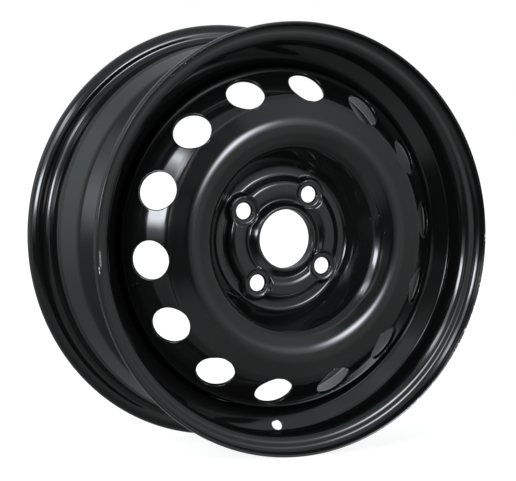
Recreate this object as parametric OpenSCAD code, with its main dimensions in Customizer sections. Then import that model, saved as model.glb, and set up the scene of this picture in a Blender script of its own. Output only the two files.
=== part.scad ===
// Pressed steel road wheel: a rolled rim with a pressed, vented centre disc welded into its well.
// The wheel's axis is Y. Its styled outer face looks towards -Y, its hub side towards +Y.
// The origin is on the axis, in the middle plane between the two tyre flanges.
// Places along the axis are given from that plane, or as heights above the hub face.

/* [Rim] */
// Diameter of the tyre's seat where it meets the flange
bead_seat_d = 380.2; // [376:0.1:392]
// Width between the two flange walls
rim_width = 152.4; // [148:0.1:168]
// Thickness of the rolled rim strip
rim_sheet = 2.4; // [2:0.1:3]
// Height of the flange above the tyre's seat
flange_height = 17.5; // [16:0.1:20]
// Radius of the flange's outward curl on the tyre side
flange_curl_r = 9.5; // [8:0.1:10.5]
// How far the curl is rolled past its highest point, in degrees
flange_roll = 22; // [10:1:35]
// Straight end of the rolled lip
flange_lip = 1.2; // [0.5:0.1:2]
// Radius in the corner where the tyre's heel sits
heel_r = 6.5; // [5:0.1:7]
// Slope of the tyre's seat, in degrees
seat_taper = 5; // [4:0.5:6]
// Width of the tyre's seat from the flange wall to the safety hump
seat_width = 18.5; // [17:0.1:20]
// Width of the safety hump
hump_width = 5.5; // [4.5:0.1:7]
// Rise of the safety hump's corner above the seat beside it
hump_rise = 2.1; // [1.6:0.1:2.6]

/* [Well] */
// Depth of the well below the tyre's seat
well_depth = 22.7; // [20:0.1:25]
// Outer end of the well's floor, outboard of the middle plane
well_outer = 39; // [37:0.5:43]
// Inner end of the well's floor, outboard of the middle plane
well_inner = 4; // [2:0.5:8]
// Width of the slope that climbs from the well to the inboard ledge
ledge_slope = 20; // [16:0.5:24]
// Depth of the inboard ledge's near end below the tyre's seat
ledge_depth = 6.5; // [4:0.1:8]
// Diameter of the hole for the tyre valve
valve_hole_d = 11.3; // [8:0.1:12.5]
// Share of the way up the outboard slope where the valve hole sits
valve_share = 0.63; // [0.5:0.01:0.65]
// Clock angle of the valve hole, from straight up towards +X
valve_turn = 180.8; // [0:0.1:359.9]

/* [Disc] */
// Thickness of the pressed disc
disc_sheet = 3.5; // [3:0.1:4]
// Distance of the hub face outboard of the middle plane
wheel_offset = 48; // [45:0.5:50]
// Gap left between the disc's rolled edge and the rim's well
disc_fit = 0.1; // [0.05:0.05:0.3]
// Depth of the disc's inboard edge behind the hub face
edge_depth = 26; // [20:0.5:32]
// Height of the shoulder's corner above the hub face
shoulder_h = 4.8; // [2:0.1:7]
// Bend radius of the shoulder
shoulder_r = 25; // [20:0.5:28]
// Radius of the crown's outer corner from the axis
crown_outer = 136.5; // [134:0.5:139]
// Height of the crown's outer corner above the hub face
crown_outer_h = 35.2; // [33:0.1:37]
// Bend radius of the crown's outer corner
crown_outer_r = 18; // [12:0.5:22]
// Radius of the crown's top corner from the axis
crown_top = 109; // [105:0.5:112]
// Height of the crown's top corner above the hub face
crown_top_h = 43.8; // [41:0.1:45]
// Bend radius over the crown's top
crown_top_r = 27; // [18:0.5:30]
// Radius of the corner where the crown falls into the dish wall
wall_top = 89; // [86:0.5:92]
// Height of that corner above the hub face
wall_top_h = 36.4; // [34:0.1:38]
// Bend radius of that corner
wall_top_r = 15; // [8:0.5:18]

/* [Vents] */
// Number of round vents
vent_count = 14; // [8:1:16]
// Diameter of a vent
vent_d = 36.7; // [28:0.1:38]
// Diameter of the circle through the vents' centres
vent_circle_d = 294; // [288:0.5:298]
// Clock angle of the first vent, from straight up towards +X
vent_turn = 32.6; // [0:0.1:359.9]

/* [Hub] */
// Diameter of the centre bore
bore_d = 56.6; // [52:0.1:58]
// Height of the bore's turned-out collar above the hub face
collar_h = 16; // [14:0.1:18]
// Thickness of the collar at its end
collar_wall = 2.9; // [2:0.1:3.5]
// Radius of the flat groove's outer corner, where the dish wall starts
groove_outer = 69.7; // [68:0.1:72]
// Radius of the flat groove's inner corner, where the ridge starts
groove_inner = 60; // [58.5:0.1:61]
// Height of the ridge between the bolts above the hub face
ridge_h = 12; // [11.2:0.1:13.5]
// Radius of the ridge's outer corner
ridge_outer = 56; // [54.5:0.1:57]
// Radius of the ridge's inner corner
ridge_inner = 43; // [42:0.1:45]
// Radius of the trough between ridge and collar
trough = 37.6; // [36.5:0.1:39]
// Width of the trough's floor
trough_w = 1.4; // [1.2:0.1:2]
// Height of the trough above the hub face
trough_h = 9.8; // [8.5:0.1:10.5]

/* [Bolts] */
// Number of wheel bolts
bolt_count = 4; // [3:1:5]
// Diameter of the bolt circle
bolt_circle_d = 100; // [98:0.5:102]
// Diameter of a bolt hole
bolt_hole_d = 15.8; // [13:0.1:17]
// Height of the bolt pad above the hub face
pad_h = 10; // [9:0.1:11]
// Radius of the flat bolt pad
pad_r = 12.4; // [11.5:0.1:13.5]
// Height of the round rim about the bolt pad
pad_rim = 1; // [0.6:0.1:1.4]
// Depth of the conical bolt seat below the pad
bolt_seat_depth = 1.5; // [1:0.1:2]
// Full angle of the conical bolt seat, in degrees
bolt_seat_angle = 60; // [50:1:90]
// Clock angle of the first bolt, from straight up towards +X
bolt_turn = 33.2; // [0:0.1:359.9]

/* [Welds] */
// Number of weld runs between the disc's edge and the well
weld_count = 4; // [3:1:6]
// Length of one weld run round the well, in degrees
weld_arc = 36; // [20:1:45]
// Leg of the weld's section
weld_leg = 3.4; // [2.5:0.1:4]

/* [Hidden] */
$fn = 120;

// Largest turn between two points of a bend
bend_step = 7.5;
// Extra length of a cut past the metal
cut_past = 2;
// Reach of a drilled hole's cutter each way, in thicknesses of the sheet
drill_reach = 4;

// Bends of the rolled rim
hump_foot_r = 8;
hump_top_r = 5;
well_r = 10;
ledge_foot_r = 12;
ledge_top_r = 14;

// Bends of the pressed disc
groove_outer_r = 4.5;
groove_inner_r = 3.6;
ridge_outer_r = 6.5;
ridge_inner_r = 12;
trough_r = 1.2;
collar_foot_r = 1.2;
collar_lip_r = 1.2;
pad_floor_r = 2.4;
pad_rim_inner_r = 1;

// Forms of the bolt pads
// Slope of the wall round a pad's floor, in degrees
pad_wall_angle = 48;
// Width of the round rim about a pad, and how far its wall leans out towards its foot
pad_rim_w = 3;
pad_rim_lean = 2.2;

// Corners of a weld's rounded face, as shares of its leg
weld_round = [[0.42, 0.72], [0.74, 0.4]];

// Places worked out for the rim
seat_r = bead_seat_d / 2;
wall_y = rim_width / 2;
curl_centre_r = seat_r + flange_height - flange_curl_r;
curl_centre_y = wall_y + flange_curl_r;
well_floor_r = seat_r - well_depth;
well_inside_r = well_floor_r - rim_sheet;
hump_foot_y = wall_y - seat_width;
hump_foot = seat_r - seat_width * tan(seat_taper);
hump_top_y = hump_foot_y - hump_width;
hump_top = hump_foot + hump_rise;
ledge_y = ledge_slope - well_inner;

// Places worked out for the disc
disc_r = well_inside_r - disc_fit;
edge_y = edge_depth - wheel_offset;
bore_r = bore_d / 2;
ridge_foot = trough + trough_w / 2;
collar_foot = trough - trough_w / 2;
collar_tip = bore_r + collar_wall;
back_end = bore_r / 2;
pad_rim_foot = pad_r + pad_rim_w;
shoulder = [disc_r, front(shoulder_h)];
crown_edge = [crown_outer, front(crown_outer_h)];

// The straight cone between crown and shoulder, which carries the vents
cone_along = unit(shoulder - crown_edge);
cone_angle = atan2(cone_along[1], cone_along[0]);
vent_r = vent_circle_d / 2;
vent_y = crown_edge[1] + (vent_r - crown_outer) * tan(cone_angle);

// The outboard slope of the well, which carries the valve hole
slope_foot = [well_floor_r, -well_outer];
slope_top = [hump_top, -hump_top_y];
slope_along = unit(slope_top - slope_foot);
slope_angle = atan2(slope_along[1], slope_along[0]);
valve_at = slope_foot + (slope_top - slope_foot) * valve_share;

// Vectors and bent outlines
function unit(v) = v / norm(v);
function right_of(v) = [v[1], -v[0]];
function turned(v, a) = [v[0] * cos(a) - v[1] * sin(a), v[0] * sin(a) + v[1] * cos(a)];
function place(p) = [p[0], p[1]];
function reversed(list) = [for (i = [len(list) - 1:-1:0]) list[i]];

// Points round the corner b between a and c, moved by inset to the right of the way along
function bend(a, b, c, radius, inset) =
    let (
        u = unit(b - a),
        v = unit(c - b),
        turn = atan2(cross(u, v), u * v),
        side = sign(turn),
        start = b - u * radius * tan(abs(turn) / 2),
        centre = start - right_of(u) * side * radius,
        steps = max(1, ceil(abs(turn) / bend_step))
    )
    [for (i = [0:steps]) centre + turned(right_of(u), turn * i / steps) * (side * radius + inset)];

// A sheet's face along corners given as [radius, axial place, bend radius], moved by inset
function bent(path, inset) =
    let (
        last = len(path) - 1,
        first_way = unit(place(path[1]) - place(path[0])),
        last_way = unit(place(path[last]) - place(path[last - 1]))
    )
    concat(
        [place(path[0]) + right_of(first_way) * inset],
        [
            for (i = [1:last - 1])
                each bend(place(path[i - 1]), place(path[i]), place(path[i + 1]), path[i][2], inset)
        ],
        [place(path[last]) + right_of(last_way) * inset]
    );

// One flange, from the end of its lip to the safety hump, for side = 1 inboard or -1 outboard
function flange_path(side) =
    let (
        tip_r = curl_centre_r + flange_curl_r * cos(flange_roll) - flange_lip * sin(flange_roll),
        tip_y = curl_centre_y + flange_curl_r * sin(flange_roll) + flange_lip * cos(flange_roll)
    )
    [
        [tip_r, side * tip_y, 0],
        [curl_centre_r + flange_curl_r * tan(45 + flange_roll / 2), side * wall_y, flange_curl_r],
        [seat_r, side * wall_y, heel_r],
        [hump_foot, side * hump_foot_y, hump_foot_r],
        [hump_top, side * hump_top_y, hump_top_r]
    ];

// The tyre side of the rim, from the inboard lip to the outboard lip
rim_path = concat(
    flange_path(1),
    [
        [hump_foot, hump_top_y - hump_width, hump_foot_r],
        [seat_r - ledge_depth, ledge_y, ledge_top_r],
        [well_floor_r, -well_inner, ledge_foot_r],
        [well_floor_r, -well_outer, well_r]
    ],
    reversed(flange_path(-1))
);

// Corners of the disc's front face, from its inboard edge to the trough round the bore
disc_path = [
    [disc_r, edge_y, 0],
    [shoulder[0], shoulder[1], shoulder_r],
    [crown_outer, crown_edge[1], crown_outer_r],
    [crown_top, front(crown_top_h), crown_top_r],
    [wall_top, front(wall_top_h), wall_top_r],
    [groove_outer, front(disc_sheet), groove_outer_r],
    [groove_inner, front(disc_sheet), groove_inner_r],
    [ridge_outer, front(ridge_h), ridge_outer_r],
    [ridge_inner, front(ridge_h), ridge_inner_r],
    [ridge_foot, front(trough_h), trough_r]
];

// Corners that carry the front face on over the collar, and the back face straight to the bore
collar_path = [
    [collar_foot, front(trough_h), collar_foot_r],
    [collar_tip, front(collar_h), collar_lip_r],
    [bore_r, front(collar_h), 0]
];
back_path = [[back_end, front(trough_h), 0]];

// Axial place of a height above the hub face
function front(height) = -wheel_offset - height;

// Turns a shape drawn round Z onto the wheel's axis
module on_axis() {
    rotate([-90, 0, 0]) children();
}

// Copies at equal clock angles, from the first angle
module round_clock(count, first) {
    for (i = [0:count - 1])
        rotate([0, 0, first - 90 + 360 * i / count]) children();
}

// The solid behind the disc's front face, with that face pressed back by inset
module pressed_form(inset) {
    face = bent(concat(disc_path, inset == 0 ? collar_path : back_path), inset);
    end_y = edge_y + (inset == 0 ? 0 : cut_past);
    end_r = face[len(face) - 1][0];
    difference() {
        union() {
            rotate_extrude() polygon(concat([[disc_r - inset, end_y]], face, [[end_r, end_y]]));
            round_clock(bolt_count, bolt_turn) translate([bolt_circle_d / 2, 0, 0]) pad_boss(inset);
        }
        round_clock(bolt_count, bolt_turn) translate([bolt_circle_d / 2, 0, 0]) pad_pocket(inset);
    }
}

// The raised rim of a bolt pad, which stands over the groove and the trough
module pad_boss(inset) {
    root_y = front(-cut_past) + inset;
    path = [
        [pad_rim_foot + pad_rim_lean, root_y, 0],
        [pad_rim_foot, front(pad_h + pad_rim), disc_sheet + pad_rim_inner_r],
        [0, front(pad_h + pad_rim), 0]
    ];
    rotate_extrude() polygon(concat(bent(path, inset), [[0, root_y]]));
}

// The sunk floor of a bolt pad, which is let into the ridge
module pad_pocket(inset) {
    mouth_h = ridge_h + 2 * cut_past;
    mouth_r = pad_r + (mouth_h - pad_h) / tan(pad_wall_angle);
    path = [
        [mouth_r, front(mouth_h), 0],
        [pad_r, front(pad_h), pad_floor_r],
        [0, front(pad_h), 0]
    ];
    rotate_extrude() polygon(concat(bent(path, inset), [[0, front(mouth_h) - cut_past]]));
}

// One vent, square to the cone
module vent_cut() {
    translate([vent_r, 0, vent_y])
        rotate([0, 90 - cone_angle + 90, 0])
            cylinder(d = vent_d, h = 2 * drill_reach * disc_sheet, center = true);
}

// One bolt hole with its conical seat
module bolt_cut() {
    seat_low = front(pad_h) + bolt_seat_depth;
    flare = tan(bolt_seat_angle / 2);
    mouth = bolt_seat_depth + cut_past;
    translate([bolt_circle_d / 2, 0, 0]) {
        translate([0, 0, front(pad_h) - cut_past])
            cylinder(d = bolt_hole_d, h = pad_h + 2 * cut_past);
        translate([0, 0, seat_low - mouth])
            cylinder(r1 = bolt_hole_d / 2 + mouth * flare, r2 = bolt_hole_d / 2, h = mouth);
    }
}

// The hole for the tyre valve, square to the outboard slope
module valve_cut() {
    rotate([0, 0, valve_turn - 90])
        translate([valve_at[0], 0, valve_at[1]])
            rotate([0, 90 - slope_angle + 90, 0])
                cylinder(d = valve_hole_d, h = 2 * drill_reach * rim_sheet, center = true);
}

// The rolled rim strip, from lip to lip
module rim_barrel() {
    color("#191a1c") on_axis() difference() {
        rotate_extrude() polygon(concat(bent(rim_path, 0), reversed(bent(rim_path, rim_sheet))));
        valve_cut();
    }
}

// The pressed centre disc
module wheel_disc() {
    color("#1e1f22") on_axis() difference() {
        pressed_form(0);
        pressed_form(disc_sheet);
        round_clock(vent_count, vent_turn) vent_cut();
        round_clock(bolt_count, bolt_turn) bolt_cut();
    }
}

// The weld runs in the corner between the disc's edge and the well
module disc_welds() {
    section = concat(
        [[disc_r, edge_y], [disc_r, edge_y + weld_leg]],
        [for (share = weld_round) [disc_r - weld_leg * share[0], edge_y + weld_leg * share[1]]],
        [[disc_r - weld_leg, edge_y]]
    );
    color("#232427") on_axis() round_clock(weld_count, bolt_turn + 180 / weld_count)
        rotate([0, 0, -weld_arc / 2]) rotate_extrude(angle = weld_arc) polygon(section);
}

rim_barrel();
wheel_disc();
disc_welds();
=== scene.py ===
# %% [markdown]
# # A pressed steel road wheel in black paint
# The wheel is two pressings and some weld: a rim rolled from strip, and a centre disc pressed from thicker
# plate and pushed into the rim's well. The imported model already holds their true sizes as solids. This
# lesson loads it as a fixed frame, gives each solid a finer skin with soft edges, and paints it.

# %% Frame and units
import math

import bmesh
import bpy
import numpy as np
from mathutils import Matrix, Vector


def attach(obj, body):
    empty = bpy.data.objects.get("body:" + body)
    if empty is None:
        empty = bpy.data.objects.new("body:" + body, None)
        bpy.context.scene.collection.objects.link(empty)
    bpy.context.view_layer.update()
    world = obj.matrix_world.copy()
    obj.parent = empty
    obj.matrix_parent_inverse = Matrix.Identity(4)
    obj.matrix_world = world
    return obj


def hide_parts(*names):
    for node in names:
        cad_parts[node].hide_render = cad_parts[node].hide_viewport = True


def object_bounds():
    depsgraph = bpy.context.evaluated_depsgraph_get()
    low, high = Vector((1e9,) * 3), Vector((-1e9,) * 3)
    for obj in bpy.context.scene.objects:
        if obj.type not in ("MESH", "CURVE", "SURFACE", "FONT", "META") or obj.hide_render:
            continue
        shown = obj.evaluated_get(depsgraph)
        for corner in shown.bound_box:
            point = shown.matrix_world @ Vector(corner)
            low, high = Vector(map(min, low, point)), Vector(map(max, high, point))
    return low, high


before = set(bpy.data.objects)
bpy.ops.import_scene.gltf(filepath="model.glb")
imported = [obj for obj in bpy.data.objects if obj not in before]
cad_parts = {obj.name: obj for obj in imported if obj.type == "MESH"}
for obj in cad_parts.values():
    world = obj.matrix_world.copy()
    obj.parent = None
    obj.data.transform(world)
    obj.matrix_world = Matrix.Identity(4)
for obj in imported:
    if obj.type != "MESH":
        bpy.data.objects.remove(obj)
cad_low, cad_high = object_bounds()
MM = 0.001
print("solids:", ", ".join(sorted(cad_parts)))
print("CAD box in mm:", [round(v / MM, 1) for v in cad_high - cad_low])

# %% [markdown]
# The camera comes first, because everything after it is judged through it. The wheel is seen from the left
# and slightly above, through a long lens that points at its middle. The lens is given as its focal length
# in pixels of a 516 by 481 picture, and the shift puts its axis a few pixels off the picture's middle.

# %% Camera
picture_wide, picture_high = 516, 481
view_turn, view_rise = math.radians(-25.88), math.radians(3.65)
view_distance = 2348.75 * MM
look_at = Vector((0, 2.32, 0)) * MM
focal_pixels = 2388.5
lens_axis_across, lens_axis_down = 256.37, 234.91

to_camera = Vector((
    math.sin(view_turn) * math.cos(view_rise),
    -math.cos(view_turn) * math.cos(view_rise),
    math.sin(view_rise),
))
to_right = Vector((math.cos(view_turn), math.sin(view_turn), 0))
upright = to_camera.cross(to_right)
camera = bpy.data.objects.new("camera", bpy.data.cameras.new("camera"))
bpy.context.scene.collection.objects.link(camera)
bpy.context.scene.camera = camera
camera.matrix_world = (
    Matrix.Translation(look_at + to_camera * view_distance)
    @ Matrix((to_right, upright, to_camera)).transposed().to_4x4()
)
camera.data.lens = focal_pixels * camera.data.sensor_width / picture_wide
camera.data.shift_x = (picture_wide / 2 - lens_axis_across) / picture_wide
camera.data.shift_y = (lens_axis_down - picture_high / 2) / picture_wide
print("lens in mm:", round(camera.data.lens, 1))

# %% [markdown]
# Both pressings are sheet bent along a line of corners, so one helper serves both. It walks the corners,
# rounds each with an arc, and can move the whole line sideways by the sheet's thickness to give the far
# face. Places are pairs of radius and axial place in millimetres, with the outer face towards minus Y.
# Blender's Bevel and Solidify modifiers could do this too, but the holes later need both faces as numbers.

# %% Bent sheet sections


def unit(v):
    return v / np.hypot(*v)


def right_of(v):
    return np.array((v[1], -v[0]))


def turned(v, angle):
    c, s = math.cos(angle), math.sin(angle)
    return np.array((v[0] * c - v[1] * s, v[0] * s + v[1] * c))


def bend(before, corner, after, radius, inset, step):
    """Points round one corner, moved by inset to the right of the way along."""
    way_in, way_out = unit(corner - before), unit(after - corner)
    turn = math.atan2(way_in[0] * way_out[1] - way_in[1] * way_out[0], way_in @ way_out)
    side = math.copysign(1, turn)
    start = corner - way_in * radius * math.tan(abs(turn) / 2)
    centre = start - right_of(way_in) * side * radius
    steps = max(2, math.ceil(abs(turn) / step))
    spoke = right_of(way_in)
    return [centre + turned(spoke, turn * i / steps) * (side * radius + inset) for i in range(steps + 1)]


def bends(path, inset, step):
    """One array of points for each corner given as (radius, axial place, bend radius)."""
    corners = [np.array(corner[:2], float) for corner in path]
    ends = [corners[0] + right_of(unit(corners[1] - corners[0])) * inset]
    ends.append(corners[-1] + right_of(unit(corners[-1] - corners[-2])) * inset)
    inner = range(1, len(path) - 1)
    rounded = [bend(*corners[i - 1:i + 2], path[i][2], inset, step) for i in inner]
    return [np.array(run) for run in [ends[:1], *rounded, ends[1:]]]


square_corner = [(0, 0, 0), (20, 0, 5), (20, 20, 0)]
rounded_corner = bends(square_corner, 0, math.radians(10))[1]
print("a square corner in steps of 10 degrees has", len(rounded_corner), "points")

# %% [markdown]
# A skin is a growing list of points and four-sided faces, which ends as one smooth mesh. A wheel is best
# meshed in rings and spokes, because then every ring of faces runs along the metal and the gloss flows over
# it without a ripple. Smoothing the solids' own triangles would be quicker, but their long thin faces show
# in the gloss.

# %% Skins


class Skin:
    """Points in millimetres and the faces between them."""

    def __init__(self):
        self.points, self.faces, self.count = [], [], 0

    def add(self, points):
        """Takes in points and returns their numbers in the same layout."""
        index = np.arange(self.count, self.count + points[..., 0].size).reshape(points.shape[:-1])
        self.points.append(points.reshape(-1, 3))
        self.count += index.size
        return index

    def between(self, ring, next_ring):
        """Faces between two closed rings with as many points."""
        sides = [ring, np.roll(ring, -1), np.roll(next_ring, -1), next_ring]
        self.faces += np.stack(sides, -1).reshape(-1, 4).tolist()

    def sheet(self, grid, gaps):
        """Faces between the closed rows of a grid, apart from those in the gaps."""
        for row in range(len(grid) - 1):
            here, there = grid[row], grid[row + 1]
            quads = np.stack([here, np.roll(here, -1), np.roll(there, -1), there], -1)
            self.faces += quads[~gaps[row]].tolist()

    def made(self, name):
        """The finished object, smooth, with its faces turned outwards."""
        mesh = bpy.data.meshes.new(name)
        mesh.from_pydata((np.vstack(self.points) * MM).tolist(), [], self.faces)
        work = bmesh.new()
        work.from_mesh(mesh)
        bmesh.ops.recalc_face_normals(work, faces=work.faces)
        work.to_mesh(mesh)
        work.free()
        mesh.shade_smooth()
        piece = bpy.data.objects.new(name, mesh)
        bpy.context.scene.collection.objects.link(piece)
        print(name, "has", len(mesh.polygons), "faces")
        return piece


print("a new skin has", Skin().count, "points")

# %% [markdown]
# The wheel's holes are punched square to a sheet that is itself bent round the axis, so each hole has three
# ways of its own: along the section, across it and down the punch. A hole can tell where a point lies in
# them, find the place on a face that lies there, and give a ring of points on its wall. A Boolean would be
# quicker to write, but it leaves thin slivers of faces round the hole, and gloss paint shows every one.

# %% Round holes
meeting_steps = 40
mouth_turns = np.radians((30, 60, 90))


def on_wheel(radius, clock, y):
    """Points from radius, clock angle (from straight up towards +X) and axial place."""
    radius, clock, y = np.broadcast_arrays(radius, clock, y)
    return np.stack([radius * np.sin(clock), y, radius * np.cos(clock)], -1)


class Hole:
    """A round hole in a sheet, punched square to the way that runs along the sheet's section."""

    def __init__(self, radius, y, clock, along):
        self.radius, self.y, self.clock, self.along = radius, y, clock, along
        self.inward = right_of(along)

    def seen(self, radius, clock, y):
        """Places along the section, across it and down the punch."""
        turn = (clock - self.clock + math.pi) % (2 * math.pi) - math.pi
        out, up = radius * np.cos(turn) - self.radius, y - self.y
        along = out * self.along[0] + up * self.along[1]
        return along, radius * np.sin(turn), out * self.inward[0] + up * self.inward[1]

    def met(self, face_y, along, across):
        """Radius and clock angle where a face has those places, found step by step."""
        radius = self.radius + along * self.along[0]
        clock = self.clock + across / self.radius
        for _ in range(meeting_steps):
            now_along, now_across, _ = self.seen(radius, clock, face_y(radius, clock))
            radius = radius + (along - now_along) * self.along[0]
            clock = clock + (across - now_across) / radius
        return radius, clock

    def ring(self, angle, size, depth):
        """Points of a round ring at a depth down the punch."""
        out = self.radius + size * np.cos(angle) * self.along[0] + depth * self.inward[0]
        y = self.y + size * np.cos(angle) * self.along[1] + depth * self.inward[1]
        across = size * np.sin(angle)
        return on_wheel(np.hypot(out, across), self.clock + np.arctan2(across, out), y)


def soft_mouth(size, rounding):
    """Sizes and depths round a hole's soft mouth, from its face to its wall."""
    return [
        (size + rounding * (1 - math.sin(a)), rounding * (1 - math.cos(a)))
        for a in mouth_turns
    ]


print("a soft mouth has", len(soft_mouth(1, 0.1)), "rings")

# %% [markdown]
# A spun section is a grid of rows and spokes. For each hole a patch of the grid is taken out and filled
# with rings that turn from the patch's square border into the hole's circle, closer together near the hole.
# That keeps the hole truly round and its edge soft, and the wall then joins both mouths ring by ring.

# %% Spun sections and walls of holes
ring_crowding = 1.6


class Spun:
    """A section spun into rows round the axis, from which patches are taken out."""

    def __init__(self, skin, section, clocks, places_y=None):
        self.skin, self.radii, self.clocks = skin, section[:, 0], clocks
        y = section[:, 1:] if places_y is None else places_y
        self.grid = skin.add(on_wheel(section[:, :1], clocks, y))
        self.gaps = np.zeros(self.grid.shape, bool)

    def pierce(self, rows, columns, hole, face_y, mouth, rings):
        """Fills a patch with rings round a hole's mouth. Returns that ring, its angles and its depths."""
        border = [(rows[0], c) for c in columns[:-1]] + [(r, columns[-1]) for r in rows[:-1]]
        border += [(rows[-1], c) for c in columns[:0:-1]] + [(r, columns[0]) for r in rows[:0:-1]]
        row, column = np.array(border).T
        column = column % len(self.clocks)
        self.gaps[rows[0]:rows[-1], np.array(columns[:-1]) % len(self.clocks)] = True
        outer_r = self.radii[row]
        outer_clock = hole.clock + (self.clocks[column] - hole.clock + math.pi) % (2 * math.pi) - math.pi
        along, across, _ = hole.seen(outer_r, outer_clock, face_y(outer_r, outer_clock))
        angle = np.arctan2(across, along)
        mouth_r, mouth_clock = hole.met(face_y, mouth * np.cos(angle), mouth * np.sin(angle))
        ring = self.grid[row, column]
        for step in range(1, rings + 1):
            share = 1 - (1 - step / rings) ** ring_crowding
            radius = outer_r + (mouth_r - outer_r) * share
            clock = outer_clock + (mouth_clock - outer_clock) * share
            next_ring = self.skin.add(on_wheel(radius, clock, face_y(radius, clock)))
            self.skin.between(ring, next_ring)
            ring = next_ring
        _, _, depth = hole.seen(mouth_r, mouth_clock, face_y(mouth_r, mouth_clock))
        order = np.argsort(angle)
        return ring[order], angle[order], depth[order]

    def close(self):
        """Adds the faces of the rows that are left, and joins the last row to the first."""
        self.skin.sheet(np.vstack([self.grid, self.grid[:1]]), self.gaps)


def line_hole(skin, hole, front, back, near, far):
    """Joins a hole's two mouths by rings, given as sizes and depths from the front and from the back."""
    ring, angle, depth = front
    back_ring, back_angle, back_depth = back
    rings = [hole.ring(angle, size, depth + sink) for size, sink in near]
    rings += [hole.ring(back_angle, size, back_depth - rise) for size, rise in far]
    for points in rings:
        next_ring = skin.add(points)
        skin.between(ring, next_ring)
        ring = next_ring
    skin.between(ring, back_ring)


print("rings crowd towards a hole by the power", ring_crowding)

# %% [markdown]
# The rim is one strip of steel, rolled to a section with a flange, a tyre seat, a safety hump and a deep
# well. Blender's Screw modifier could spin it, but the valve hole needs its own patch, so the section is
# spun by hand. Both faces follow the same corners, one sheet thickness apart.

# %% Rim section
seat_r, flange_wall_y, rim_sheet = 190.1, 76.2, 2.4
flange_height, curl_r, curl_roll, lip_end = 17.5, 9.5, math.radians(22), 1.2
seat_taper, seat_width, hump_width, hump_rise = math.radians(5), 18.5, 5.5, 2.1
well_depth, well_outer_y, well_inner_y = 22.7, -39, -4
ledge_depth, ledge_y = 6.5, 16
heel_bend, hump_foot_bend, hump_top_bend, well_bend = 6.5, 8, 5, 14
ledge_foot_bend, ledge_top_bend = 12, 14
rolled_step, slope_rows = math.radians(6), 8

well_floor_r, ledge_r = seat_r - well_depth, seat_r - ledge_depth
hump_foot_r = seat_r - seat_width * math.tan(seat_taper)
hump_foot_y = flange_wall_y - seat_width
hump_top_r, hump_top_y = hump_foot_r + hump_rise, hump_foot_y - hump_width
curl_centre_r, curl_centre_y = seat_r + flange_height - curl_r, flange_wall_y + curl_r


def flange_corners(side):
    """Corners from the end of a lip to the safety hump, inboard for side 1 and outboard for -1."""
    tip_r = curl_centre_r + curl_r * math.cos(curl_roll) - lip_end * math.sin(curl_roll)
    tip_y = curl_centre_y + curl_r * math.sin(curl_roll) + lip_end * math.cos(curl_roll)
    crest_r = curl_centre_r + curl_r * math.tan(math.pi / 4 + curl_roll / 2)
    return [
        (tip_r, side * tip_y, 0),
        (crest_r, side * flange_wall_y, curl_r),
        (seat_r, side * flange_wall_y, heel_bend),
        (hump_foot_r, side * hump_foot_y, hump_foot_bend),
        (hump_top_r, side * hump_top_y, hump_top_bend),
    ]


slope_foot = (well_floor_r, well_outer_y, well_bend)
rim_corners = flange_corners(1) + [
    (hump_foot_r, hump_top_y - hump_width, hump_foot_bend),
    (ledge_r, ledge_y, ledge_top_bend),
    (well_floor_r, well_inner_y, ledge_foot_bend),
    slope_foot,
] + flange_corners(-1)[::-1]
slope_corner = rim_corners.index(slope_foot)


def rim_face(inset):
    """Points along one face of the strip, with extra rows on the slope that has the valve hole."""
    runs = bends(rim_corners, inset, rolled_step)
    slope = np.linspace(runs[slope_corner][-1], runs[slope_corner + 1][0], slope_rows + 1)[1:-1]
    before, after = np.vstack(runs[:slope_corner + 1]), np.vstack(runs[slope_corner + 1:])
    return np.vstack([before, slope, after]), len(before) - 1


tyre_side, slope_row = rim_face(0)
inner_side, _ = rim_face(rim_sheet)
print("rim section has", len(tyre_side), "points a side")

# %% [markdown]
# The strip's cut ends are turned to the side and never seen square on, but their thin bright edge draws the
# whole outline of the wheel. Three points round each corner are enough for that gleam.

# %% Rounded strip ends
edge_round, edge_turns = 0.55, np.radians((15, 45, 75))


def rounded_end(last, other, way):
    """Points round the cut end of a strip, from one face's last point to the other face's."""
    across = unit(other - last)
    near = last + (across - way) * edge_round
    far = other - (across + way) * edge_round
    points = [near + edge_round * (way * math.sin(a) - across * math.cos(a)) for a in edge_turns]
    points += [far + edge_round * (way * math.sin(a) + across * math.cos(a)) for a in edge_turns[::-1]]
    return np.array(points)


outboard_end = rounded_end(tyre_side[-1], inner_side[-1], unit(tyre_side[-1] - tyre_side[-2]))
inboard_end = rounded_end(inner_side[0], tyre_side[0], unit(tyre_side[0] - tyre_side[1]))
for side in (tyre_side, inner_side):
    side[-1] -= unit(side[-1] - side[-2]) * edge_round
    side[0] -= unit(side[0] - side[1]) * edge_round
print("strip ends rounded to", edge_round, "mm")

# %% [markdown]
# Now the section is spun into rows of points and the valve hole is let into both faces. The hole was
# punched, so its mouth has a small round and its wall is straight. Its patch reaches a few rows past the
# top of the slope, so that the rings have room to turn round.

# %% Rim with its valve hole
rim_spokes = 288
valve_clock, valve_share, valve_size, valve_round = math.radians(180.8), 0.63, 11.3 / 2, 0.35
valve_rings, patch_spokes, rows_past_slope, bend_rows = 6, 3, 3, 6
rim_clocks = valve_clock + np.arange(rim_spokes) * 2 * math.pi / rim_spokes
slope_low, slope_high = (np.array(rim_corners[i][:2]) for i in (slope_corner, slope_corner + 1))
valve_at = slope_low + (slope_high - slope_low) * valve_share
valve = Hole(*valve_at, valve_clock, unit(slope_high - slope_low))

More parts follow.
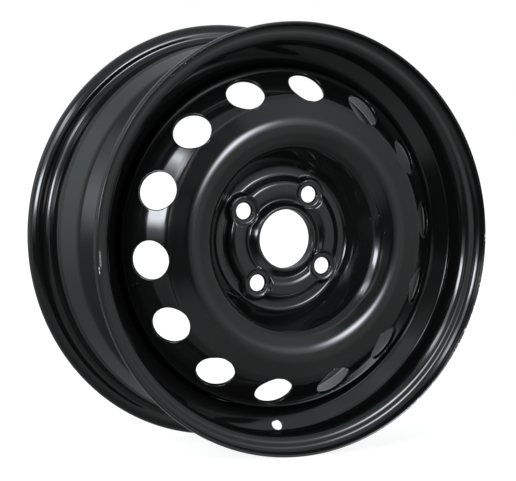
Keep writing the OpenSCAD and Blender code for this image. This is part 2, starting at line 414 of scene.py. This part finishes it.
rim_skin = Skin()
rim_section = np.vstack([tyre_side, outboard_end, inner_side[::-1], inboard_end])
rim_spun = Spun(rim_skin, rim_section, rim_clocks)
first_inner = len(tyre_side) + len(outboard_end) + len(inner_side) - 1
patch_rows = list(range(slope_row + 1, slope_row + slope_rows + rows_past_slope + 1))
patch_columns = list(range(-patch_spokes, patch_spokes + 1))
patches = ((tyre_side, patch_rows), (inner_side, [first_inner - i for i in patch_rows[::-1]]))


def slope_face(side):
    """Axial place by radius on the slope and on the bends beside it."""
    part = side[slope_row - bend_rows:slope_row + slope_rows + bend_rows]
    return lambda radius, clock: np.interp(radius, part[:, 0], part[:, 1])


valve_mouths = [
    rim_spun.pierce(rows, patch_columns, valve, slope_face(side), valve_size + valve_round, valve_rings)
    for side, rows in patches
]
valve_edge = soft_mouth(valve_size, valve_round)
line_hole(rim_skin, valve, *valve_mouths, valve_edge, valve_edge[::-1])
rim_spun.close()
rim = rim_skin.made("rim_paintwork")

# %% [markdown]
# The disc is the showpiece. One press gives it a cone with round vents, a rounded crown, a dish, a ridge
# with four sunk bolt pads and a turned-out collar round the bore. All but the pads and holes is the same
# all round, so it is drawn as one line of corners again, from the edge in the well to the bore. Heights
# count from the face that meets the hub. The back follows the same corners one thickness behind, but runs
# flat to the bore, because the collar is turned out of the front.

# %% Disc section
disc_sheet, hub_face_y, disc_fit = 3.5, -48, 0.1
disc_r, disc_edge_y = well_floor_r - rim_sheet - disc_fit, -22
bore_r = 56.6 / 2
shoulder_h, shoulder_bend = 4.8, 25
crown_outer_r, crown_outer_h, crown_outer_bend = 136.5, 35.2, 18
crown_top_r, crown_top_h, crown_top_bend = 109, 43.8, 27
wall_top_r, wall_top_h, wall_top_bend = 89, 36.4, 15
groove_outer_r, groove_outer_bend = 69.7, 4.5
groove_inner_r, groove_inner_bend = 60, 3.6
ridge_h, ridge_outer_r, ridge_outer_bend = 12, 56, 6.5
ridge_inner_r, ridge_inner_bend = 43, 12
trough_h, ridge_foot_r, collar_foot_r, trough_bend = 9.8, 38.3, 36.9, 1.2
collar_h, collar_top_r, collar_top_bend = 16, 31.2, 1.2
fine_step = math.radians(1)


def front(height):
    return hub_face_y - height


disc_corners = [
    (disc_r, disc_edge_y, 0),
    (disc_r, front(shoulder_h), shoulder_bend),
    (crown_outer_r, front(crown_outer_h), crown_outer_bend),
    (crown_top_r, front(crown_top_h), crown_top_bend),
    (wall_top_r, front(wall_top_h), wall_top_bend),
    (groove_outer_r, front(disc_sheet), groove_outer_bend),
    (groove_inner_r, front(disc_sheet), groove_inner_bend),
    (ridge_outer_r, front(ridge_h), ridge_outer_bend),
    (ridge_inner_r, front(ridge_h), ridge_inner_bend),
    (ridge_foot_r, front(trough_h), trough_bend),
]
collar_corners = [
    (collar_foot_r, front(trough_h), trough_bend),
    (collar_top_r, front(collar_h), collar_top_bend),
    (bore_r, front(collar_h), 0),
]
back_corners = [(bore_r / 2, front(trough_h), 0)]
front_line = np.vstack(bends(disc_corners + collar_corners, 0, fine_step))
back_line = np.vstack(bends(disc_corners + back_corners, disc_sheet, fine_step))
print("disc stands", round(disc_edge_y - front_line[:, 1].min(), 1), "mm deep")

# %% [markdown]
# Seen from the front no part of the disc hangs over another, so each face is a height for every radius and
# clock angle. That makes pressing easy: a pad is a raised boss with a sunk pocket, and a soft minimum and
# maximum let them run into the ridge as sheet flows over a press tool. Booleans would leave creases there.

# %% Bolt pads pressed into the ridge
bolt_count, bolt_circle_r, bolt_clock = 4, 50, math.radians(33.2)
pad_r, pad_h, pad_rim_h, pad_rim_w, pad_rim_bend, pad_lean = 12.4, 10, 1, 3, 1, 2.2
pad_floor_bend, pad_wall, pad_mouth_h, pad_root = 2.4, math.radians(48), 24, 2
pad_blend, pocket_blend = 2.2, 1.2
far_behind = 1000


def lower(a, b, blend):
    """The smaller of two values, with a soft change from one to the other."""
    near = np.maximum(blend - np.abs(a - b), 0) / blend
    return np.minimum(a, b) - near * near * blend / 4


def higher(a, b, blend):
    return -lower(-a, -b, blend)


def by_radius(line, beyond):
    """Axial place by radius along a section that runs inwards."""
    inwards = line[::-1]
    return lambda radius: np.interp(radius, inwards[:, 0], inwards[:, 1], right=beyond)


def disc_face(line, inset):
    """Axial place of a disc face by radius and clock angle, with its bolt pads."""
    rim_foot = pad_r + pad_rim_w
    boss_corners = [
        (rim_foot + pad_lean, front(-pad_root) + inset, 0),
        (rim_foot, front(pad_h + pad_rim_h), disc_sheet + pad_rim_bend),
        (0, front(pad_h + pad_rim_h), 0),
    ]
    mouth_r = pad_r + (pad_mouth_h - pad_h) / math.tan(pad_wall)
    pocket_corners = [
        (mouth_r, front(pad_mouth_h), 0),
        (pad_r, front(pad_h), pad_floor_bend),
        (0, front(pad_h), 0),
    ]
    plain = by_radius(line, disc_edge_y)
    boss = by_radius(np.vstack(bends(boss_corners, inset, fine_step)), far_behind)
    pocket = by_radius(np.vstack(bends(pocket_corners, inset, fine_step)), -far_behind)
    between = 2 * math.pi / bolt_count

    def face_y(radius, clock):
        turn = (clock - bolt_clock + between / 2) % between - between / 2
        from_bolt = np.hypot(radius * np.cos(turn) - bolt_circle_r, radius * np.sin(turn))
        raised = lower(plain(radius), boss(from_bolt), pad_blend)
        return higher(raised, pocket(from_bolt), pocket_blend)

    return face_y


front_y, back_y = disc_face(front_line, 0), disc_face(back_line, disc_sheet)
print("pad floor at", round(float(front_y(np.array(bolt_circle_r), bolt_clock)), 1), "mm")

# %% [markdown]
# The rows of the disc are closest where the form is tightest. Each zone between two radii gets its own
# number of rows on the front and on the back. The zones with vents or bolt holes get as many on both, so
# that the walls of the holes join ring to ring. Twenty spokes go to each vent.

# %% Disc zones
vent_count, vent_size, vent_circle_r, vent_clock = 14, 36.7 / 2, 147, math.radians(32.6)
vent_reach, hub_r, bolt_zone_r = 13.9, 74, (60.4, 39.6)
spokes_a_vent = 20
zone_rows = {
    "edge": (20, 8),
    "vents": (20, 20),
    "crown": (44, 18),
    "groove": (14, 6),
    "bolts": (34, 34),
    "collar": (24, 6),
}
front_counts, back_counts = zip(*zone_rows.values())
vent_zone, groove_zone, bolt_zone = (list(zone_rows).index(name) for name in ("vents", "groove", "bolts"))
shoulder = np.array((disc_r, front(shoulder_h)))
cone_way = unit(np.array((crown_outer_r, front(crown_outer_h))) - shoulder)
vent_y = shoulder[1] + (vent_circle_r - shoulder[0]) * cone_way[1] / cone_way[0]


def zone_stops(depth, last_r):
    """Radii where the zones of a face end, for the face at a depth in the sheet."""
    middle = vent_circle_r + depth * right_of(cone_way)[0]
    return [middle + vent_reach, middle - vent_reach, hub_r, *bolt_zone_r, last_r]


def zoned_rows(line, stops, counts):
    """Rows along a section, evenly spaced in each zone, and the first row of each zone."""
    run = np.append(0, np.cumsum(np.hypot(*np.diff(line, axis=0).T)))
    ends = np.append(edge_round, np.interp(-np.array(stops), -line[:, 0], run))
    at = [np.linspace(a, b, n, endpoint=False) for a, b, n in zip(ends, ends[1:], counts)]
    at = np.append(np.concatenate(at), ends[-1])
    rows = np.stack([np.interp(at, run, line[:, 0]), np.interp(at, run, line[:, 1])], -1)
    return rows, np.append(0, np.cumsum(counts))


print("rows on the front and the back:", sum(front_counts), sum(back_counts))

# %% [markdown]
# The disc's closed section runs over the front, down the bore and back behind to the rolled edge. Only its
# hub changes round the clock, so there the rows take their heights from the pressed pads.

# %% Disc rows
disc_spokes = vent_count * spokes_a_vent
disc_clocks = vent_clock + np.arange(disc_spokes) * 2 * math.pi / disc_spokes
lip_round, bore_round, bore_steps = 0.6, 0.4, 8
front_rows, front_starts = zoned_rows(front_line, zone_stops(0, bore_r + lip_round), front_counts)
back_rows, back_starts = zoned_rows(back_line, zone_stops(disc_sheet, bore_r + bore_round), back_counts)
lip = [(size, front_rows[-1, 1] + sink) for size, sink in soft_mouth(bore_r, lip_round)]
foot = [(size, back_rows[-1, 1] - rise) for size, rise in soft_mouth(bore_r, bore_round)[::-1]]
bore_wall = np.linspace(lip[-1], foot[0], bore_steps + 1)[1:-1]
disc_end = rounded_end(back_line[0], front_line[0], np.array((0, 1)))
disc_section = np.vstack([front_rows, lip, bore_wall, foot, back_rows[::-1], disc_end])
disc_y = np.repeat(disc_section[:, 1:], disc_spokes, axis=1)
first_back = len(disc_section) - len(disc_end) - 1
hub_front = range(front_starts[groove_zone], front_starts[-1] + 1)
hub_back = [first_back - i for i in range(back_starts[groove_zone], back_starts[-1] + 1)]
for rows, face_y in ((hub_front, front_y), (hub_back, back_y)):
    disc_y[rows] = face_y(disc_section[rows, :1], disc_clocks)
print("disc has", len(disc_section), "rows of", disc_spokes)

# %% [markdown]
# Last come the holes. The vents are punched square to the cone and have rounded mouths on both sides. Each
# bolt hole gets a conical seat, whose rings run from the seat's wide mouth down to the straight wall.

# %% Disc with its vents and bolt holes
vent_round, vent_back_round, vent_rings = 0.6, 0.35, 7
bolt_size, bolt_back_round, bolt_rings, bolt_patch_half = 15.8 / 2, 0.35, 8, 10
seat_depth, seat_lean, seat_round = 1.5, math.radians(30), 0.3
seat_mouth_shares = ((0.4, 0.2), (-0.3, 0.8))
seat_foot_steps = ((0.05, -0.1), (0, 0.2))
seat_size = bolt_size + seat_depth * math.tan(seat_lean)
seat = [(seat_size + out * seat_round, down * seat_round) for out, down in seat_mouth_shares]
seat += [(bolt_size + out, seat_depth + down) for out, down in seat_foot_steps]
disc_skin = Skin()
disc_spun = Spun(disc_skin, disc_section, disc_clocks, disc_y)


def both_mouths(zone, columns, hole, front_mouth, back_mouth, rings):
    """The front and back mouths of a hole in one zone of the disc."""
    front_zone = list(range(front_starts[zone], front_starts[zone + 1] + 1))
    back_zone = [first_back - i for i in range(back_starts[zone], back_starts[zone + 1] + 1)][::-1]
    return (
        disc_spun.pierce(front_zone, columns, hole, front_y, front_mouth, rings),
        disc_spun.pierce(back_zone, columns, hole, back_y, back_mouth, rings),
    )


for k in range(vent_count):
    vent = Hole(vent_circle_r, vent_y, vent_clock + 2 * math.pi * k / vent_count, cone_way)
    columns = list(range((2 * k - 1) * spokes_a_vent // 2, (2 * k + 1) * spokes_a_vent // 2 + 1))
    mouth_sizes = vent_size + vent_round, vent_size + vent_back_round
    mouths = both_mouths(vent_zone, columns, vent, *mouth_sizes, vent_rings)
    edges = soft_mouth(vent_size, vent_round), soft_mouth(vent_size, vent_back_round)[::-1]
    line_hole(disc_skin, vent, *mouths, *edges)

for k in range(bolt_count):
    clock = bolt_clock + 2 * math.pi * k / bolt_count
    bolt = Hole(bolt_circle_r, front(pad_h), clock, np.array((-1, 0)))
    middle = math.floor((clock - vent_clock) / (2 * math.pi) * disc_spokes)
    columns = list(range(middle + 1 - bolt_patch_half, middle + 1 + bolt_patch_half))
    mouth_sizes = seat_size + seat_round, bolt_size + bolt_back_round
    mouths = both_mouths(bolt_zone, columns, bolt, *mouth_sizes, bolt_rings)
    line_hole(disc_skin, bolt, *mouths, seat, soft_mouth(bolt_size, bolt_back_round)[::-1])
disc_spun.close()
disc = disc_skin.made("disc_paintwork")

# %% [markdown]
# Four runs of weld hold the disc's edge in the rim's well. A machine laid them in small steps, so each bead
# is a row of overlapping crescents. A swept tube would be too smooth, so the bead's size rises and falls
# along the run, shifted in the middle of its face so that each ripple is bowed, and fades out at both ends.

# %% Weld beads
weld_count, weld_arc, weld_leg = 4, math.radians(36), 3.4
ripple_pitch, ripple_height, ripple_bow = 2.1, 0.09, 0.45
bead_flat, bead_start, bead_fade = 0.17, 0.15, 24
bead_steps, bead_sides = 280, 10
weld_r, weld_y = well_floor_r - rim_sheet, disc_edge_y
weld_skin = Skin()
share = np.linspace(-1, 1, bead_steps + 1)[:, None]
lean = np.linspace(0, math.pi / 2, bead_sides + 1)
wave = (share * weld_arc / 2 * weld_r / ripple_pitch + ripple_bow * np.sin(2 * lean)) % 1
ends = bead_start + (1 - bead_start) * np.sqrt(1 - np.abs(share) ** bead_fade)
bead = weld_leg * ends * (1 - bead_flat * np.sin(2 * lean)) * (1 + ripple_height * (np.sqrt(wave) - 0.5))
for k in range(weld_count):
    clock = bolt_clock + math.pi * (2 * k + 1) / weld_count + share * weld_arc / 2
    face = weld_skin.add(on_wheel(weld_r - bead * np.sin(lean), clock, weld_y + bead * np.cos(lean)))
    root = weld_skin.add(on_wheel(weld_r, clock, weld_y))
    rings = np.hstack([root, face])
    for ring, next_ring in zip(rings, rings[1:]):
        weld_skin.between(ring, next_ring)
    weld_skin.faces += [rings[0].tolist(), rings[-1].tolist()]
welds = weld_skin.made("weld_beads")

# %% [markdown]
# Shader maths reads best as Python. A wire is a socket with the usual operators, and each of them adds one
# Math node to its bench. Nodes could be placed and linked one by one, but then the sum is hard to see.

# %% Wires


class Wire:
    """A shader socket that takes part in Python arithmetic."""

    def __init__(self, bench, socket):
        self.bench, self.socket = bench, socket

    def maths(self, operation, one, two):
        return self.bench.add("ShaderNodeMath", {"operation": operation}, {0: one, 1: two})

    def __add__(self, other):
        return self.maths("ADD", self, other)

    __radd__ = __add__

    def __sub__(self, other):
        return self.maths("SUBTRACT", self, other)

    def __rsub__(self, other):
        return self.maths("SUBTRACT", other, self)

    def __mul__(self, other):
        return self.maths("MULTIPLY", self, other)

    __rmul__ = __mul__

    def __pow__(self, other):
        return self.maths("POWER", self, other)

    def rise(self, low, high):
        """A soft step from 0 at low to 1 at high."""
        sockets = {"Value": self, "From Min": low, "From Max": high}
        return self.bench.add("ShaderNodeMapRange", {"interpolation_type": "SMOOTHSTEP"}, sockets)

    def within(self, low, high, soft):
        """A soft window that is 1 between low and high."""
        return self.rise(low - soft, low + soft) * (1 - self.rise(high - soft, high + soft))


print("wires add, subtract, multiply and raise to a power")

# %% [markdown]
# A bench is a node tree under construction. Everything but plain arithmetic comes from its one method,
# which sets a node's settings first and then fills its sockets with values or wires. Colours go through a
# Mix node, because a Math node would turn them grey.

# %% Benches


class Bench:
    """A node tree under construction."""

    def __init__(self, tree):
        self.tree = tree
        tree.nodes.clear()

    def add(self, kind, settings, sockets, out=0):
        """Adds a node and returns one of its outputs as a wire."""
        node = self.tree.nodes.new(kind)
        for name, value in settings.items():
            setattr(node, name, value)
        for name, value in sockets.items():
            if isinstance(value, Wire):
                self.tree.links.new(value.socket, node.inputs[name])
            else:
                node.inputs[name].default_value = value
        return Wire(self, node.outputs[out]) if len(node.outputs) else None

    def blend(self, share, one, two):
        """A mix of two colours."""
        return self.add("ShaderNodeMix", {"data_type": "RGBA"}, {0: share, 6: one, 7: two}, 2)

    def noise(self, place, scale, detail):
        return self.add("ShaderNodeTexNoise", {}, {"Vector": place, "Scale": scale, "Detail": detail})

    def parts(self, vector):
        return [self.add("ShaderNodeSeparateXYZ", {}, {"Vector": vector}, axis) for axis in "XYZ"]


print("benches are ready")

# %% [markdown]
# The paint is a black dipped coat, baked to a gloss: almost no colour of its own, a mirror of four parts in
# a hundred, and a skin that is not quite flat. Two scales of bump give the skin: the fine peel of the coat
# and the slow waviness of pressed steel, which makes reflections wander. Slight haze varies the roughness.
# Where the coat is worn, the light undercoat shows through, dull and grey. On the rim the same grey is also
# a painted glint and a painted highlight.

# %% Black paint
# The light grey is the worn undercoat, and on the rim it is also the colour of a painted glint and a
# painted highlight.
black, primer_and_glint_grey = (0.0026, 0.0026, 0.0026, 1), (0.62, 0.62, 0.6, 1)
gloss_roughness, haze, worn_and_lit_roughness, paint_ior = 0.08, 0.05, 0.55, 1.5
haze_scale = 60
peel_scale, peel_height = 750, 0.000004
wave_scale, wave_height = 28, 0.00006


def black_paint(name, wear_and_light):
    """Gloss black paint, turned to the light undercoat grey where worn, and to the same grey where light is
    painted.
    """
    material = bpy.data.materials.new(name)
    material.use_nodes = True
    bench = Bench(material.node_tree)
    place = bench.add("ShaderNodeTexCoord", {}, {}, "Object")
    x, y, z = bench.parts(place)
    radius = (x * x + z * z) ** 0.5
    clock = bench.add("ShaderNodeMath", {"operation": "ARCTAN2"}, {0: x, 1: z}) * math.degrees(1)
    # The mask is wear, and on the rim it also holds painted glints and a painted highlight.
    worn_and_lit = wear_and_light(bench, place, radius, clock, y)
    cloud = bench.noise(place, haze_scale, 3)
    peel = bench.noise(place, peel_scale, 2) * peel_height + bench.noise(place, wave_scale, 1) * wave_height
    skin = bench.add("ShaderNodeBump", {}, {"Strength": 1.0, "Distance": 1.0, "Height": peel})
    paint = bench.add("ShaderNodeBsdfPrincipled", {}, {
        "Base Color": bench.blend(worn_and_lit, black, primer_and_glint_grey),
        "Roughness": gloss_roughness + haze * (cloud - 0.5) + (worn_and_lit_roughness - gloss_roughness) * worn_and_lit,
        "Normal": skin,
        "IOR": paint_ior,
    })
    bench.add("ShaderNodeOutputMaterial", {}, {"Surface": paint})
    return material


print("paint reflects", round(100 * ((paint_ior - 1) / (paint_ior + 1)) ** 2, 1), "parts in a hundred")

# %% [markdown]
# A wheel that has been handled shows it first on its outer flange. There is a short bright scuff on the
# left with a fainter one above it. The flecks further up are scratches with a painted glint, and the chips
# on the lip at the lower right are wear with a painted highlight. Each is a window in clock angle, in
# degrees, and in radius, in metres, broken up by noise so that it looks scraped.
# An image could hold such marks, but windows stay sharp at any distance. The disc and the welds carry only
# a little dust.

# %% Wear
flange_front_y = (-0.0785, -0.0765)
low_scuff_clock, low_scuff_r = (-97, -95.2, 0.3), (0.2036, 0.2054, 0.0004)
high_scuff_clock, high_scuff_r, high_scuff_share = (-95.6, -91.4, 0.8), (0.198, 0.1998, 0.0005), 0.36
# The flecks are a painted glint on scratched edges, and the chips also paint the lip's highlight.
glint_fleck_clock, glint_fleck_r = (-62, -28, 6), (0.1985, 0.2035, 0.001)
chip_highlight_clock, lip_r, lip_y = (88, 152, 6), (0.2052, 0.206), (-0.0878, -0.0866)
grain_scale, coarse_scale, dust_scale = 900, 380, 700
scuff_grain, glint_fleck_grain, chip_highlight_grain, dust_grain = (0.36, 0.54), (0.68, 0.74), (0.6, 0.66), (0.755, 0.79)
dust_share = 0.25


def rim_wear_and_highlights(bench, place, radius, clock, y):
    """Two scuffs on the left of the outboard flange, flecks above them that are a painted glint, and chips
    on the lip that also paint its highlight.
    """
    grain = bench.noise(place, grain_scale, 3)
    front_side = 1 - y.rise(*flange_front_y)
    scuff_low = clock.within(*low_scuff_clock) * radius.within(*low_scuff_r)
    scuff_high = clock.within(*high_scuff_clock) * radius.within(*high_scuff_r) * high_scuff_share
    left_scuff = (scuff_low + scuff_high) * grain.rise(*scuff_grain)
    coarse = bench.noise(place, coarse_scale, 2)
    # Painted glint: light grey flecks on the flange's edge stand for scratches catching the light.
    glint_flecks = clock.within(*glint_fleck_clock) * radius.within(*glint_fleck_r) * coarse.rise(*glint_fleck_grain)
    lip_front = radius.rise(*lip_r) * (1 - y.rise(*lip_y))
    # Painted highlight: light grey chips on the lip at the lower right are wear that also paints the lip's
    # highlight.
    chips_and_highlight = clock.within(*chip_highlight_clock) * lip_front * coarse.rise(*chip_highlight_grain)
    return front_side * (left_scuff + glint_flecks + chips_and_highlight)


def dust_wear(bench, place, radius, clock, y):
    """A few dust flecks."""
    return bench.noise(place, dust_scale, 2).rise(*dust_grain) * dust_share


rim_paint = black_paint("rolled_gloss_black", rim_wear_and_highlights)
disc_paint = black_paint("pressed_gloss_black", dust_wear)
weld_paint = black_paint("bead_gloss_black", dust_wear)
print("paints:", rim_paint.name, disc_paint.name, weld_paint.name)

# %% [markdown]
# Each skin now takes the place of its solid, which stays for collision. The wheel has no joints, so there
# is one body, and each piece rides on it.

# %% Pieces on the wheel
for piece, node, paint, slot in (
    (rim, "rim_barrel", rim_paint, "rim_paint"),
    (disc, "wheel_disc", disc_paint, "disc_paint"),
    (welds, "disc_welds", weld_paint, "weld_paint"),
):
    piece.data.materials.append(paint)
    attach(piece, "root")
    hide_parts(node)
print("three pieces ride on the wheel")

# %% [markdown]
# A black gloss object shows little but its surroundings, so the studio is the other half of its colour.
# Lamps could be real area lights, but a world of soft windows has no noise and no end. Its walls come
# first, a grey that rises from the floor to the ceiling. A place in the room is a turn from straight before
# the wheel's face towards +X, and a rise above the horizon, both in degrees.

# %% Studio walls
floor_grey = 0.21
wall_gain, wall_rise = 0.15, (-67, -8)
ceiling_gain, ceiling_rise = 0.205, (-26, 19)
world = bpy.data.worlds.new("studio")
bpy.context.scene.world = world
world.use_nodes = True
room = Bench(world.node_tree)
east, north, height = room.parts(room.add("ShaderNodeTexCoord", {}, {}, "Generated"))
turn = room.add("ShaderNodeMath", {"operation": "ARCTAN2"}, {0: east, 1: 0 - north}) * math.degrees(1)
rise = room.add("ShaderNodeMath", {"operation": "ARCSINE"}, {0: height, 1: 0.0}) * math.degrees(1)
walls = floor_grey + wall_gain * rise.rise(*wall_rise) + ceiling_gain * rise.rise(*ceiling_rise)
print("the walls' grey runs from", floor_grey, "to", round(floor_grey + wall_gain + ceiling_gain, 3))

# %% [markdown]
# Two windows stand on the left and a lamp stands to the right of the camera, with soft glows beside them.
# A window is its place as turn and rise, its tilt, half its length and height, how soft its ends and its
# sides are, and its strength. A shade is a window that takes light away, as dark furniture would.

# %% Windows and shades
windows = {
    "upper_window": ((-50.6, 37.6), -19, (22.9, 5.1), (4.2, 4.2), 6.3),
    "upper_end": ((-67.4, 43.6), 0, (3.7, 1.6), (2.9, 2.9), 8),
    "lower_window": ((-59.5, 12.8), 0, (13.3, 6.1), (3.4, 3.4), 17),
    "lower_glow": ((-50.5, 12.3), -14.6, (9, 8.1), (4.7, 4.7), 1),
    "left_wall": ((-62.1, 25.3), 0, (18.9, 23.2), (7.8, 9), 2.1),
    "far_strip": ((-82.5, 16), 0, (0.4, 10), (1.8, 14), 4),
    "lamp": ((14.6, 12.8), 0, (5.4, 7.4), (6, 6), 19),
    "lamp_glow": ((20, 14.3), 0, (13, 9.3), (8.5, 8.5), 1.2),
    "lamp_foot": ((21, 1.7), 0, (5.1, 3.1), (3.6, 3.6), 1.2),
    "corner_light": ((-20, 5.5), 0, (4.5, 3), (2, 2), 1.2),
    "right_window": ((3.9, 37.3), 10.9, (16.7, 3.7), (6.5, 6.5), 0.8),
    "corner_glow": ((-12.6, 22.2), 19.3, (3.5, 8.5), (4.1, 4.1), 1),
    "corner_shade": ((-27.1, 1.5), 0, (2.7, 28.5), (5, 5), -0.58),
    "low_shade": ((-36.6, -7.7), 0, (41, 8.3), (5.5, 5.5), -0.37),
    "lamp_shade": ((5.4, 24.6), 50, (7.1, 3.3), (3.5, 3.5), -0.49),
    "middle_shade": ((-6, 15), 0, (4, 17), (4, 6), -0.48),
    "floor_glow": ((-16, -31), 0, (28, 12), (10, 8), 0.12),
    "back_glow": ((-131, 18), 0, (25, 24), (12, 20), 0.3),
    "back_shade": ((-162, 2), 0, (11, 18), (7, 10), -0.4),
    "right_fill": ((34.6, 7), 0, (15.8, 40.9), (12.8, 12.8), 0.27),
}
studio = walls
for (at_turn, at_rise), tilt, (half_long, half_tall), (soft_long, soft_tall), strength in windows.values():
    lean = math.radians(tilt)
    along = (turn - at_turn) * math.cos(lean) + (rise - at_rise) * math.sin(lean)
    across = (rise - at_rise) * math.cos(lean) - (turn - at_turn) * math.sin(lean)
    pane = along.within(-half_long, half_long, soft_long) * across.within(-half_tall, half_tall, soft_tall)
    studio = studio + strength * pane
print("the studio has", len(windows), "soft windows and shades")

# %% [markdown]
# The walls have a cool tint and the windows a bluer one, as daylight has. The camera itself sees plain
# white behind the wheel: a Light Path node tells its rays from the reflected ones, so the wheel mirrors the
# room and still stands before a clean page.

# %% Backdrop
darkest_wall, window_light = 0.02, (0.7, 2)
white_light = (1, 1, 1, 1)
wall_tint, window_tint = (0.93, 1.01, 1.02, 1), (0.95, 1, 1.07, 1)
studio = room.add("ShaderNodeMath", {"operation": "MAXIMUM"}, {0: studio, 1: darkest_wall})
seen = room.add("ShaderNodeLightPath", {}, {}, "Is Camera Ray")
daylight = room.blend(studio.rise(*window_light), wall_tint, window_tint)
backdrop = room.add("ShaderNodeBackground", {}, {
    "Color": room.blend(seen, daylight, white_light),
    "Strength": seen + (1 - seen) * studio,
})
room.add("ShaderNodeOutputWorld", {}, {"Surface": backdrop})
bpy.context.scene.view_settings.view_transform = "Standard"
print("the world has", len(world.node_tree.nodes), "nodes")

# %% [markdown]
# The floor is white paper. Most of its white is its own glow, as on overexposed paper, so the shadow under
# the wheel stays faint. The paint doesn't mirror it, because the lower half of the world already stands for
# it there.

# %% Floor
paper_glow, paper_white, reach = 0.86, 0.3, 12
floor_mesh = bpy.data.meshes.new("floor")
corners = [(-reach, -reach), (reach, -reach), (reach, reach), (-reach, reach)]
floor_mesh.from_pydata([(x, y, cad_low.z) for x, y in corners], [], [(0, 1, 2, 3)])
floor = bpy.data.objects.new("floor", floor_mesh)
bpy.context.scene.collection.objects.link(floor)
floor_paint = bpy.data.materials.new("floor_white")
floor_paint.use_nodes = True
sheet = Bench(floor_paint.node_tree)
paper = sheet.add("ShaderNodeBsdfPrincipled", {}, {
    "Base Color": (paper_white, paper_white, paper_white, 1),
    "Roughness": 1.0,
    "Specular IOR Level": 0.0,
    "Emission Color": white_light,
    "Emission Strength": paper_glow,
})
sheet.add("ShaderNodeOutputMaterial", {}, {"Surface": paper})
floor_mesh.materials.append(floor_paint)
floor.visible_glossy = False
print("floor at", round(cad_low.z / MM, 1), "mm")
